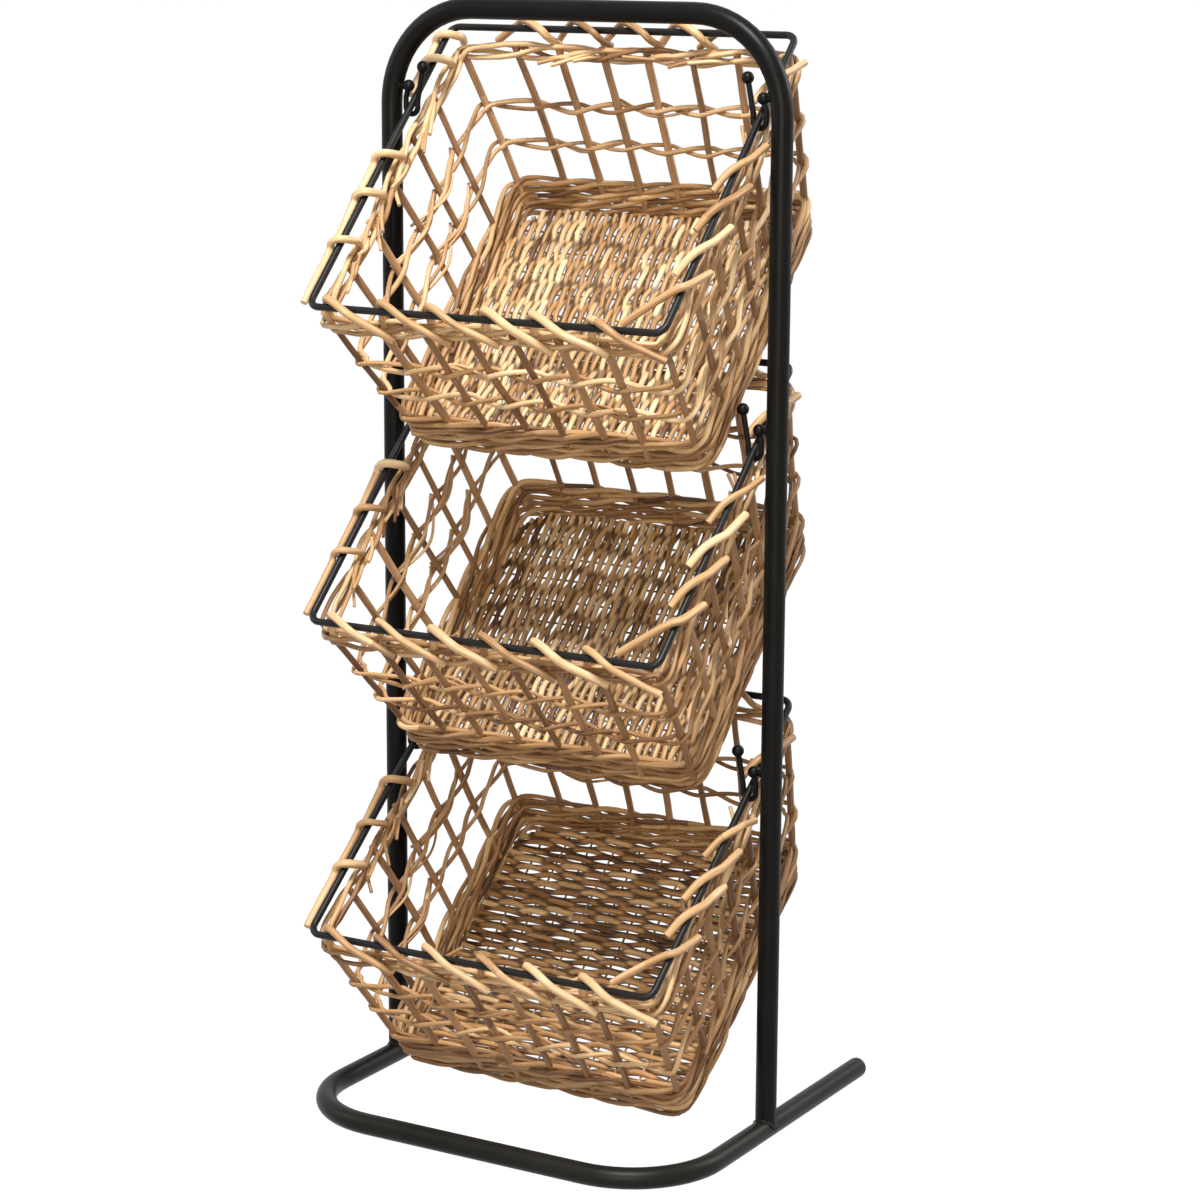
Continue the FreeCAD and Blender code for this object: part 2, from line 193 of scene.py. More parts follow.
def new_material(name):
    """A new material, with its node tree and its surface shader."""
    material = bpy.data.materials.new(name)
    material.use_nodes = True
    return material, material.node_tree, material.node_tree.nodes["Principled BSDF"]


def noise(tree, place, scale, detail, roughness=0.5, give="Fac"):
    """Cloudy noise, which gives a value or a colour."""
    return add_node(tree, "ShaderNodeTexNoise", [
        ("Vector", place), ("Scale", scale), ("Detail", detail), ("Roughness", roughness)]).outputs[give]


def ranged(tree, value, low, high, start=0.0, end=1.0):
    """A value that goes from low to high while the given one goes from start to end."""
    return add_node(tree, "ShaderNodeMapRange", [
        ("Value", value), ("From Min", start), ("From Max", end),
        ("To Min", low), ("To Max", high)]).outputs[0]


def tinted(colour, share):
    """A share of a colour, with full cover."""
    return (*[share * part for part in colour], 1)


def tone_ramp(tree, value, stops):
    """A colour that follows a value. Stops are pairs of a value and the colour there, in order."""
    ramp = add_node(tree, "ShaderNodeValToRGB", [("Fac", value)])
    first, *between, last = stops
    for mark, (position, colour) in zip(ramp.color_ramp.elements, (first, last)):
        mark.position = position
        mark.color = colour
    for position, colour in between:
        ramp.color_ramp.elements.new(position).color = colour
    return ramp.outputs["Color"]


def blended(tree, share, first, second):
    """The first colour with a share of the second."""
    return add_node(tree, "ShaderNodeMix", [(0, share), (6, first), (7, second)], data_type="RGBA").outputs[2]


def bumped(tree, height, strength, distance):
    """A surface that stands up and down by a height."""
    return add_node(tree, "ShaderNodeBump", [
        ("Height", height), ("Strength", strength), ("Distance", distance)]).outputs["Normal"]


def powder_coat(name, base, worn_amount, shine):
    """Satin black powder coat: pebbled skin, uneven gloss, dust and small worn spots."""
    material, tree, surface = new_material(name)
    place = add_node(tree, "ShaderNodeTexCoord").outputs["Object"]
    pebble = noise(tree, place, scale=900.0, detail=2.0)
    cloud = noise(tree, place, scale=14.0, detail=4.0)
    chips = noise(tree, place, scale=70.0, detail=5.0, roughness=0.7)
    tone = tone_ramp(tree, cloud, ((0.3, tinted(base, 0.7)), (0.75, tinted(base, 1.35))))
    chipped = ranged(tree, chips, 0.0, 1.0, start=0.80 - worn_amount, end=0.84 - worn_amount)
    bare_steel = (0.17, 0.16, 0.14, 1)
    feed(tree, surface, [
        ("Base Color", blended(tree, chipped, tone, bare_steel)),
        ("Roughness", ranged(tree, cloud, 0.30, 0.46)),
        ("Specular IOR Level", shine),
        ("Normal", bumped(tree, pebble, strength=0.12, distance=0.0004)),
    ])
    return material


bent_bar = bent_bar_tree()
# The hoop's black is darker than the floor base's: the difference is painted shade for the upright tubes,
# which the light from above only grazes
hoop_finish = powder_coat("hoop powder coat", (0.0034, 0.0031, 0.0026), worn_amount=0.0, shine=0.10)
hoop_points = [
    Vector((-upright_x, 0, tube_radius)),
    Vector((-upright_x, 0, rail_height)),
    Vector((upright_x, 0, rail_height)),
    Vector((upright_x, 0, tube_radius)),
]
hoop = bar_mesh("hoop_tube", hoop_points, tube_bends, tube_diameter, tube_sides, hoop_finish)
show_piece("hoop_tube", hoop, "stand", "black_steel", "upright_hoop")

# Floor base
# A second tube of the same size, bent flat on the floor into a front bar and two legs open to the back.
# Its coating is the same black, browner and more scuffed from shoes and brooms.
base_low, base_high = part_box("floor_base")
base_front = base_low.y + tube_radius
leg_end = base_high.y
base_finish = powder_coat("base powder coat", (0.0075, 0.0070, 0.0055), worn_amount=0.02, shine=0.12)
base_points = [
    Vector((-upright_x, leg_end, tube_radius)),
    Vector((-upright_x, base_front, tube_radius)),
    Vector((upright_x, base_front, tube_radius)),
    Vector((upright_x, leg_end, tube_radius)),
]
base = bar_mesh("base_tube", base_points, tube_bends, tube_diameter, tube_sides, base_finish)
show_piece("base_tube", base, "stand", "black_steel", "floor_base")

# Foot welds
# A bead of weld runs round each upright where it is mitred on to the round leg, coated over in black.
# The bead is a little uneven, as one laid by hand is.
weld_bead = 0.0034
weld_ripple = 0.0004
weld_ripples = 9
weld_steps = 40
weld_sides = 10
foot_welds = []
for side in (-1, 1):
    ring = []
    for step in range(weld_steps):
        turn = 2 * math.pi * step / weld_steps
        reach = tube_radius + weld_ripple * math.sin(weld_ripples * turn)
        rise = tube_radius + math.sqrt(max(0.0, tube_radius ** 2 - (tube_radius * math.cos(turn)) ** 2))
        ring.append(Vector((side * upright_x + reach * math.cos(turn), reach * math.sin(turn), rise)))
    foot_welds.append(bar_mesh(
        "foot_weld", ring, [0] * weld_steps, weld_bead, weld_sides, base_finish, closed=True))
show_piece("foot_welds", joined(foot_welds), "stand", "black_steel")

# End plugs
# A black plastic plug is pushed into the open rear end of each leg and shows as a flat cap with a
# rounded rim. Moulded plastic, plain and matt.
stand_sides = ((-1, "left"), (1, "right"))
plug_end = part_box("end_plug_right")[1].y
plug_set_in = 0.0003
plug_radius = tube_radius - plug_set_in
plug_hidden = 0.002
plug_round = 0.0022
plug_steps = 6
plug_finish, plug_tree, plug_surface = new_material("plug plastic")
plug_place = add_node(plug_tree, "ShaderNodeTexCoord").outputs["Object"]
plug_grain = noise(plug_tree, plug_place, scale=1500.0, detail=1.0)
feed(plug_tree, plug_surface, [
    ("Base Color", (0.012, 0.012, 0.012, 1)),
    ("Roughness", 0.55),
    ("Normal", bumped(plug_tree, plug_grain, strength=0.1, distance=0.0002)),
])
plug_profile = [(leg_end - plug_hidden, plug_radius), (plug_end - plug_round, plug_radius)]
for step in range(1, plug_steps + 1):
    turn = math.pi / 2 * step / plug_steps
    plug_profile.append((plug_end - plug_round + plug_round * math.sin(turn),
                         plug_radius - plug_round + plug_round * math.cos(turn)))
for side, side_name in stand_sides:
    shell = bmesh.new()
    rings = []
    for y, radius in plug_profile:
        ring = []
        for number in range(tube_sides):
            turn = 2 * math.pi * number / tube_sides
            ring.append(shell.verts.new((
                side * upright_x + radius * math.cos(turn), y, tube_radius + radius * math.sin(turn))))
        rings.append(ring)
    for near, far in zip(rings, rings[1:]):
        for number in range(tube_sides):
            following = (number + 1) % tube_sides
            shell.faces.new((near[number], near[following], far[following], far[number]))
    shell.faces.new(rings[0])
    shell.faces.new(rings[-1])
    bmesh.ops.recalc_face_normals(shell, faces=shell.faces)
    for face in shell.faces:
        face.smooth = len(face.verts) == 4
    plug = bpy.data.meshes.new("plug_cap_" + side_name)
    shell.to_mesh(plug)
    shell.free()
    plug.materials.append(plug_finish)
    show_piece("plug_cap_" + side_name, plug, "stand", "plug_plastic", "end_plug_" + side_name)

# Basket hooks
# Each hook is a round bar bent into a U, with a ball formed on both ends, and a short peg that is welded
# to the upright carries its outer ball. They are coated with the stand.
tiers = ("top", "middle", "bottom")
hook_bar = 0.005
hook_sides = 16
hook_bend = 0.006
hook_bend_steps = 8
hook_ball = 0.011
hook_half_gap = 0.00625
hook_outer = 0.00575
hook_lean = 0.00175
hook_heights = {"shoulder": 0.015, "ball": 0.025, "flare": 0.012, "tip": 0.042}
hook_tip_angle = math.radians(11)
hook_tip_lean = (hook_heights["tip"] - hook_heights["flare"]) * math.tan(hook_tip_angle)
hook_peg = 0.006
peg_bead = 0.0024
peg_bead_sides = 8
peg_bead_sunk = 0.0006
peg_ripple = 0.0003
peg_ripples = 5
swing_height = {joint["child"]: joint["pos_m"][2] for joint in frame["joints"]}


def ball_mesh(centre, diameter, material):
    """A smooth ball."""
    ball = bmesh.new()
    bmesh.ops.create_uvsphere(ball, u_segments=20, v_segments=14, radius=diameter / 2)
    bmesh.ops.translate(ball, verts=ball.verts, vec=centre)
    for face in ball.faces:
        face.smooth = True
    mesh = bpy.data.meshes.new("ball")
    ball.to_mesh(mesh)
    ball.free()
    mesh.materials.append(material)
    return mesh


for tier in tiers:
    for side, side_name in stand_sides:
        height = swing_height[tier + "_basket"]
        name = tier + "_hook_" + side_name
        low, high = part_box(name)
        outer_ball = max(-low.x, high.x) - hook_ball / 2
        foot = upright_x - tube_radius - hook_outer
        inner = foot - 2 * hook_half_gap
        outline = []
        for reach, rise in (
                (outer_ball, hook_heights["ball"]),
                (foot, hook_heights["shoulder"]),
                (foot, 0),
                (inner, 0),
                (inner, hook_heights["flare"]),
                (inner - hook_tip_lean, hook_heights["tip"])):
            outline.append(Vector((side * reach, 0, height + rise)))
        bends = [0, hook_bend, hook_half_gap, hook_half_gap, hook_bend, 0]
        bar = bar_mesh("hook", outline, bends, hook_bar, hook_sides, hoop_finish, steps=hook_bend_steps)
        balls = [ball_mesh(outline[end], hook_ball, hoop_finish) for end in (0, -1)]
        show_piece(name + "_bar", joined([bar] + balls), "stand", "black_steel", name)
        # The hoop's bend brings the tube, and with it the peg, in by this much
        bent_in = foot - hook_lean - outer_ball
        root = Vector((side * (upright_x - tube_radius / 2 - bent_in), 0, height + hook_heights["ball"]))
        peg = bar_mesh("peg", [root, outline[0]], [0, 0], hook_peg, hook_sides, hoop_finish)
        seat_x = upright_x - tube_radius - bent_in + peg_bead_sunk
        seat = Vector((side * seat_x, 0, height + hook_heights["ball"]))
        collar = []
        for step in range(weld_steps):
            turn = 2 * math.pi * step / weld_steps
            reach = hook_peg / 2 + peg_ripple * math.sin(peg_ripples * turn)
            collar.append(seat + Vector((0, reach * math.cos(turn), reach * math.sin(turn))))
        bead = bar_mesh(
            "peg_weld", collar, [0] * weld_steps, peg_bead, peg_bead_sides, hoop_finish, closed=True)
        peg_name = tier + "_hook_peg_" + side_name
        show_piece(peg_name + "_weld", joined([peg, bead]), "stand", "black_steel", peg_name)

# Basket rim wires
# A rectangle of black round wire, bent with tight corners, is the mouth of each basket and hangs in the
# hooks. Painted satin black, with paint rubbed thin where the willow goes over it.
rim_x = 0.176
rim_y = 0.163
rim_wire = 0.0064
rim_sides = 16
rim_corner = 0.010
rim_corner_steps = 8
rim_finish = powder_coat("rim paint", (0.0055, 0.0052, 0.0050), worn_amount=0.01, shine=0.20)
rim_corners = [Vector((x * rim_x, y * rim_y, 0)) for x, y in ((1, -1), (1, 1), (-1, 1), (-1, -1))]


def basket_place(tier):
    """Turns and moves a basket from the middle of its own rim to where its rim wire hangs."""
    low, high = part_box(tier + "_rim_wire")
    middle = (low + high) / 2
    spread_y = spread_z = lean = 0.0
    for vertex in frame["nodes"][tier + "_rim_wire"].data.vertices:
        away = vertex.co - middle
        spread_y += away.y ** 2
        spread_z += away.z ** 2
        lean += away.y * away.z
    tilt = 0.5 * math.atan2(2 * lean, spread_y - spread_z)
    return Matrix.Translation(middle) @ Matrix.Rotation(tilt, 4, "X")


def hang_piece(tier, name, mesh, slot, *nodes):
    """Moves a mesh from its basket's own frame to where the basket hangs, and shows it there."""
    mesh.transform(places[tier])
    show_piece(tier + "_" + name, mesh, tier + "_basket", slot, *[tier + "_" + node for node in nodes])


places = {tier: basket_place(tier) for tier in tiers}
for tier in tiers:
    wire = bar_mesh("rim", rim_corners, [rim_corner] * 4, rim_wire, rim_sides, rim_finish,
                    closed=True, steps=rim_corner_steps)
    hang_piece(tier, "rim", wire, "rim_steel", "rim_wire")

# Wall stakes
# Straight brown willow rods stand in the foot of each wall and run up to the rim, one in every corner.
# They are dried with a thin skin of bark, so they are darker than the peeled weavers.
basket_depth = 0.185
floor_width = 0.298
floor_length = 0.270
floor_shift = -0.033
weave_corner = 0.016
across_pitch = 0.046
along_pitch = 0.050
stakes_across = 6
stakes_along = 5
stake_rod = 0.0065
stake_foot = 0.172
stake_head = 0.017
stake_slip = 0.0020
stake_bow = 0.0014


def wall_at(depth):
    """Half width, half length and middle of the ring of stakes at a depth below the rim."""
    share = depth / basket_depth
    half_x = rim_x + (floor_width / 2 - rim_x) * share
    half_y = rim_y + (floor_length / 2 - rim_y) * share
    return half_x, half_y, floor_shift * share


def spaced(count, pitch):
    """Places at an even pitch about the middle."""
    return [pitch * (number - (count - 1) / 2) for number in range(count)]


def stake_ring(depth):
    """The stakes' places at a depth: back, left, front and right, each with the corner that ends it."""
    half_x, half_y, middle = wall_at(depth)
    across = [x * half_x / rim_x for x in spaced(stakes_across, across_pitch)]
    along = [y * half_y / rim_y for y in spaced(stakes_along, along_pitch)]
    inset = weave_corner * (1 - math.sqrt(0.5))
    walls = (
        [(x, half_y) for x in reversed(across)] + [(inset - half_x, half_y - inset)],
        [(-half_x, y) for y in reversed(along)] + [(inset - half_x, inset - half_y)],
        [(x, -half_y) for x in across] + [(half_x - inset, inset - half_y)],
        [(half_x, y) for y in along] + [(half_x - inset, half_y - inset)],
    )
    return [[Vector((x, middle + y, -depth)) for x, y in wall] for wall in walls]


def vector_of(tree, operation, *values):
    """One step of arithmetic on vectors, as the socket of its result."""
    return add_node(tree, "ShaderNodeVectorMath", enumerate(values), operation=operation).outputs[0]


def scaled(tree, vector, amount):
    """A vector made longer or shorter."""
    return add_node(tree, "ShaderNodeVectorMath", [
        (0, vector), ("Scale", amount)], operation="SCALE").outputs[0]


def willow_tree():
    """Willow rods along guides. Strands twist round their guide by the phase that its points carry."""
    tree, given = new_tree("willow rods", {
        "Rod": "Float", "Strands": "Int", "Reach": "Float", "Rise": "Float", "Step": "Float",
        "Wobble": "Float", "Unevenness": "Float", "Sides": "Int", "Seed": "Int", "Finish": "Material"})
    ask = given.outputs

    def chosen(low, high, number):
        """A value by chance for each number."""
        return add_node(tree, "FunctionNodeRandomValue", [
            (2, low), (3, high), ("ID", number), ("Seed", ask["Seed"])], data_type="FLOAT").outputs[1]

    def noted(curves, name, value, kind="FLOAT", domain="POINT"):
        """Writes a value on the rods, for their finish to read."""
        return add_node(tree, "GeometryNodeStoreNamedAttribute", [
            (0, curves), ("Name", name), ("Value", value)], data_type=kind, domain=domain).outputs[0]

    path = add_node(tree, "GeometryNodeMeshToCurve", [(0, ask["Guide"])])
    eased = add_node(tree, "GeometryNodeCurveSplineType", [(0, path.outputs[0])], spline_type="CATMULL_ROM")
    even = add_node(tree, "GeometryNodeResampleCurve", [
        (0, eased.outputs[0]), (3, ask["Step"])], mode="LENGTH")
    strands = add_node(tree, "GeometryNodeDuplicateElements", [
        (0, even.outputs[0]), (2, ask["Strands"])], domain="SPLINE")

    # Each strand goes out and up round the guide, partly bowed and partly taut from stake to stake
    bowed_share = 0.35
    taut_share = 0.65
    phase = add_node(tree, "GeometryNodeInputNamedAttribute", [(0, "phase")], data_type="FLOAT").outputs[0]
    share = worked_out(tree, "DIVIDE", strands.outputs[1], ask["Strands"])
    turn = worked_out(tree, "MULTIPLY_ADD", share, 2 * math.pi, phase)
    cosine = worked_out(tree, "COSINE", turn)
    sine = worked_out(tree, "SINE", turn)
    bow = worked_out(tree, "MULTIPLY", cosine, bowed_share)
    taut = worked_out(tree, "ARCSINE", cosine)
    swing = worked_out(tree, "MULTIPLY_ADD", taut, 2 * taut_share / math.pi, bow)
    outward = worked_out(tree, "MULTIPLY", swing, ask["Reach"])
    upward = worked_out(tree, "MULTIPLY", sine, ask["Rise"])
    tangent = add_node(tree, "GeometryNodeInputTangent").outputs[0]
    reach = scaled(tree, vector_of(tree, "CROSS_PRODUCT", tangent, (0, 0, 1)), outward)
    rise = add_node(tree, "ShaderNodeCombineXYZ", [(2, upward)]).outputs[0]
    twist = vector_of(tree, "ADD", reach, rise)
    twisted = add_node(tree, "GeometryNodeSetPosition", [(0, strands.outputs[0]), (3, twist)])

    # Each rod also wavers in its own way
    index = add_node(tree, "GeometryNodeInputIndex").outputs[0]
    owner = add_node(tree, "GeometryNodeCurveOfPoint", [(0, index)]).outputs[0]
    drift = add_node(tree, "FunctionNodeRandomValue", [
        (0, (0, 0, 0)), (1, (90, 90, 90)), ("ID", owner), ("Seed", ask["Seed"])],
        data_type="FLOAT_VECTOR").outputs[0]
    spot = add_node(tree, "GeometryNodeInputPosition").outputs[0]
    sample = vector_of(tree, "ADD", spot, drift)
    waver = noise(tree, sample, scale=22.0, detail=1.0, give="Color")
    sway = scaled(tree, vector_of(tree, "SUBTRACT", waver, (0.5, 0.5, 0.5)), ask["Wobble"])
    swayed = add_node(tree, "GeometryNodeSetPosition", [(0, twisted.outputs[0]), (3, sway)])

    # What the finish reads, and a round section of uneven thickness
    shaded = noted(swayed.outputs[0], "rod_shade", chosen(0.0, 1.0, index), domain="CURVE")
    length = add_node(tree, "GeometryNodeSplineParameter").outputs["Length"]
    measured = noted(shaded, "rod_length", length)
    raised = noted(measured, "rod_high", sine)
    swell = worked_out(tree, "SUBTRACT", noise(tree, sample, scale=30.0, detail=2.0), 0.5)
    stoutness = chosen(0.86, 1.12, owner)
    girth = worked_out(tree, "MULTIPLY_ADD", swell, ask["Unevenness"], stoutness)
    section = round_section(tree, ask["Rod"], ask["Sides"])
    marked = noted(section, "rod_side", vector_of(tree, "NORMALIZE", spot), kind="FLOAT_VECTOR")
    rods = add_node(tree, "GeometryNodeCurveToMesh", [(0, raised), (1, marked), (2, girth), (3, True)])
    end_tree(tree, rods.outputs[0], ask["Finish"], sharp_angle=math.radians(60))
    return tree


def willow(name, dark, middle, light, gloss, dip_shade=0.0):
    """Dried willow: rods of different tones joined end to end, with streaks, fibres, bark and dark knots.
    Dip shade is how dark a rod is painted where it lies deep in the weave, seen from inside or from outside
    the basket: painted shade."""
    rods_per_metre = 4.3
    grain_per_metre = 9.0
    rods_apart = 40.0
    # The way the baskets' mouths face, which tells the inner face of the weave from the outer for the painted
    # shade
    mouth_way = (0, -1.7, 1.8)
    material, tree, surface = new_material(name)
    shade, length, high = [
        add_node(tree, "ShaderNodeAttribute", attribute_name=mark).outputs["Fac"]
        for mark in ("rod_shade", "rod_length", "rod_high")]
    side = add_node(tree, "ShaderNodeAttribute", attribute_name="rod_side").outputs["Vector"]
    apart = worked_out(tree, "MULTIPLY", shade, rods_apart)
    along = worked_out(tree, "MULTIPLY_ADD", length, grain_per_metre, apart)
    lift = add_node(tree, "ShaderNodeCombineXYZ", [(2, along)]).outputs[0]
    grain_place = vector_of(tree, "ADD", side, lift)
    streak = noise(tree, grain_place, scale=2.2, detail=4.0, roughness=0.6)
    fibre_place = vector_of(tree, "MULTIPLY", grain_place, (6.0, 6.0, 1.6))
    fibre = noise(tree, fibre_place, scale=1.6, detail=2.0)
    rod_number = worked_out(tree, "MULTIPLY_ADD", length, rods_per_metre, apart)
    rod_number = worked_out(tree, "FLOOR", rod_number)
    rod_tone = add_node(tree, "ShaderNodeTexWhiteNoise", [("W", rod_number)], noise_dimensions="1D")
    level = worked_out(tree, "MULTIPLY_ADD", shade, 0.40, -0.50)
    for source, amount in ((rod_tone.outputs["Value"], 0.40), (streak, 0.75), (fibre, 0.40)):
        level = worked_out(tree, "MULTIPLY_ADD", source, amount, level)
    tone = tone_ramp(tree, level, ((0.14, (*dark, 1)), (0.46, (*middle, 1)), (0.84, (*light, 1))))
    knot_place = add_node(tree, "ShaderNodeCombineXYZ", [(0, along)]).outputs[0]
    knots = add_node(tree, "ShaderNodeTexVoronoi", [
        ("Vector", knot_place), ("Scale", 1.6)], voronoi_dimensions="3D")
    knot = ranged(tree, knots.outputs["Distance"], 0.6, 0.0, start=0.02, end=0.06)
    spotted = blended(tree, knot, tone, tinted(dark, 0.4))
    normal = add_node(tree, "ShaderNodeTexCoord").outputs["Normal"]
    facing = add_node(tree, "ShaderNodeVectorMath", [
        (0, normal), (1, mouth_way)], operation="DOT_PRODUCT").outputs["Value"]
    # Painted shade: a rod is darkened towards a third of its dark tone where it lies deep in the weave, on
    # whichever face it is seen from
    painted_dip_shade = ranged(tree, worked_out(tree, "MULTIPLY", facing, high), dip_shade, 0.0, start=-0.7, end=0.5)
    relief = worked_out(tree, "MULTIPLY_ADD", fibre, 0.5, streak)
    feed(tree, surface, [
        ("Base Color", blended(tree, painted_dip_shade, spotted, tinted(dark, 0.3))),
        ("Roughness", ranged(tree, streak, gloss - 0.08, gloss + 0.14)),
        ("Specular IOR Level", 0.35),
        ("Normal", bumped(tree, relief, strength=0.45, distance=0.0006)),
    ])
    return material


willow_rods = willow_tree()
stake_finish = willow(
    "brown stake willow",
    dark=(0.105, 0.046, 0.018), middle=(0.285, 0.150, 0.067), light=(0.50, 0.295, 0.150), gloss=0.46)


def rod_mesh(name, lines, finish, seed, phases=None, rod=0.004, strands=1, reach=0.0, rise=0.0,
             step=0.005, wobble=0.001, unevenness=0.25, sides=8):
    """Willow rods along lines of points, in the basket's own frame."""
    guide = guide_mesh(name, lines, {"phase": phases} if phases else None)
    return grow_mesh(name, guide, willow_rods, rod=rod, strands=strands, reach=reach, rise=rise, step=step,
                     wobble=wobble, unevenness=unevenness, sides=sides, seed=seed, finish=finish)


for order, tier in enumerate(tiers):
    chance = random.Random(110 + order)
    lines = []
    for wall_foot, wall_head in zip(stake_ring(stake_foot), stake_ring(stake_head)):
        for foot, head in zip(wall_foot, wall_head):
            slip = Vector((chance.uniform(-1, 1), chance.uniform(-1, 1), 0)) * stake_slip
            bow = Vector((chance.uniform(-1, 1), chance.uniform(-1, 1), 0)) * stake_bow
            lines.append([foot + slip, foot.lerp(head, 0.5) + bow, head])
    stakes = rod_mesh("stakes", lines, stake_finish, seed=210 + order,
                      rod=stake_rod, step=0.008, wobble=0.0020)
    hang_piece(tier, "stakes", stakes, "willow_stakes",
               "front_stakes", "back_stakes", "left_stakes", "right_stakes")

# Woven rows
# Peeled willow rods are woven in and out of the stakes: a band of four under the rim with cut tails, two
# open rows of crossed pairs in the walls, and four close rows of three at the foot.
weaver_finish = willow(
    "peeled weaver willow",
    dark=(0.14, 0.060, 0.021), middle=(0.42, 0.235, 0.100), light=(0.82, 0.60, 0.35), gloss=0.42)
foot_finish = willow(
    "foot band willow",
    dark=(0.080, 0.032, 0.011), middle=(0.31, 0.160, 0.064), light=(0.70, 0.46, 0.23), gloss=0.44)
band_depth = 0.0225
pairing_depths = {"upper_pairing": 0.075, "lower_pairing": 0.113}
foot_rows = 4
foot_row_top = 0.1530
foot_row_pitch = 0.0090
foot_row_lag = 0.9
tails_in_band = 34
tail_rod = 0.0034
tail_depth = 0.020
tail_reach = (0.022, 0.050)
tail_bow = 0.45
tail_offs = {"root": 0.004, "bow": 0.0085, "end": (0.010, 0.019)}
tail_rises = {"root": (-0.006, 0.004), "end": (-0.009, 0.012)}
splint_rod = 0.0027
splint_off = (0.0055, 0.0085)
splint_stray = 0.005
# The wall that each splint trails on, numbered as in the ring of stakes
splint_walls = (1, 1, 3, 1, 0, 1, 3, 2, 1)


def woven_line(depth, strands, start_phase, chance, slack):
    """One turn round the stakes at a depth, with the phases that take each strand past stake after stake."""
    half_x, half_y, middle = wall_at(depth)
    corner_ways = ((-1, 1), (-1, -1), (1, -1), (1, 1))
    # Three points round a corner: the share of its turn, and how far before or after its stake
    corner_points = ((0, -0.4), (0.5, 0), (1, 0.4))
    points = []
    passes = []
    passed = 0
    for quarter, wall in enumerate(stake_ring(depth)):
        way_x, way_y = corner_ways[quarter]
        centre = Vector((way_x * (half_x - weave_corner), middle + way_y * (half_y - weave_corner), -depth))
        for stake in wall[:-1]:
            points.append(stake)
            passes.append(passed)
            passed += 1
        for turned, away in corner_points:
            turn = math.pi / 2 * (quarter + 1 + turned)
            points.append(centre + Vector((math.cos(turn), math.sin(turn), 0)) * weave_corner)
            passes.append(passed + away)
        passed += 1
    loose = [point + Vector((0, 0, chance.uniform(-slack, slack))) for point in points]
    loose.append(loose[0].copy())
    phases = [start_phase + 2 * math.pi / strands * number for number in passes + [passed]]
    return loose, phases


def woven_mesh(name, depth, finish, seed, strands, rod, reach, rise, wobble, slack, start_phase=0.0):
    """One row of strands that cross each other between the stakes."""
    points, phases = woven_line(depth, strands, start_phase, random.Random(seed), slack)
    return rod_mesh(name, [points], finish, seed, phases, rod=rod, strands=strands, reach=reach, rise=rise,
                    step=0.0045, wobble=wobble, unevenness=0.35)


def band_tails(chance):
    """Cut ends of the band's rods, which stick out along it on the inner side."""
    lines = []
    walls = stake_ring(tail_depth)
    for number in range(tails_in_band):
        wall = walls[number % 4]
        spot = chance.randrange(len(wall) - 2)
        start = wall[spot].lerp(wall[spot + 1], chance.random())
        along = (wall[spot + 1] - wall[spot]).normalized()
        inward = Vector((0, 0, 1)).cross(along)
        reach = chance.uniform(*tail_reach)
        root_rise = Vector((0, 0, chance.uniform(*tail_rises["root"])))
        end_off = inward * chance.uniform(*tail_offs["end"])
        end_rise = Vector((0, 0, chance.uniform(*tail_rises["end"])))
        lines.append([
            start + inward * tail_offs["root"] + root_rise,
            start + inward * tail_offs["bow"] + along * tail_bow * reach,
            start + end_off + along * reach + end_rise,
        ])
    return lines


def loose_splints(depth, chance):
    """Thin strips split off the weavers, which trail along a row past three stakes, out and in."""
    lines = []
    walls = stake_ring(depth)
    for number in splint_walls:
        spot = chance.randrange(len(walls[number]) - 3)
        stakes = walls[number][spot:spot + 3]
        outward = (stakes[1] - stakes[0]).normalized().cross(Vector((0, 0, 1)))
        line = []
        for stake, way in zip(stakes, (1, -1, 1)):
            aside = outward * chance.uniform(*splint_off) * way
            line.append(stake + aside + Vector((0, 0, chance.uniform(-splint_stray, splint_stray))))
        lines.append(line)
    return lines


for order, tier in enumerate(tiers):
    band = woven_mesh("rim_band", band_depth, weaver_finish, seed=310 + order, strands=4,
                      rod=0.0047, reach=0.0056, rise=0.0068, wobble=0.009, slack=0.0030)
    tails = rod_mesh("tails", band_tails(random.Random(320 + order)), weaver_finish, seed=325 + order,
                     rod=tail_rod, step=0.004, wobble=0.003)
    hang_piece(tier, "rim_band", joined([band, tails]), "willow_weavers", "top_wale")
    for row, (node, depth) in enumerate(pairing_depths.items()):
        pair = woven_mesh(node, depth, weaver_finish, seed=330 + 10 * row + order, strands=2,
                          rod=0.0044, reach=0.0053, rise=0.0025, wobble=0.0036, slack=0.0026)
        splint_lines = loose_splints(depth, random.Random(350 + 10 * row + order))
        splints = rod_mesh("splints", splint_lines, weaver_finish, seed=355 + 10 * row + order,
                           rod=splint_rod, step=0.005, wobble=0.004)
        hang_piece(tier, node + "_rods", joined([pair, splints]), "willow_weavers", node)
    foot_band = []
    for row in range(foot_rows):
        depth = foot_row_top + foot_row_pitch * row
        foot_band.append(woven_mesh(
            "foot_row", depth, foot_finish, seed=360 + 10 * row + order, strands=3, rod=0.0047, reach=0.0038,
            rise=0.0042, wobble=0.0046, slack=0.0020, start_phase=foot_row_lag * row))
    hang_piece(tier, "foot_band", joined(foot_band), "willow_wale", "bottom_wale")

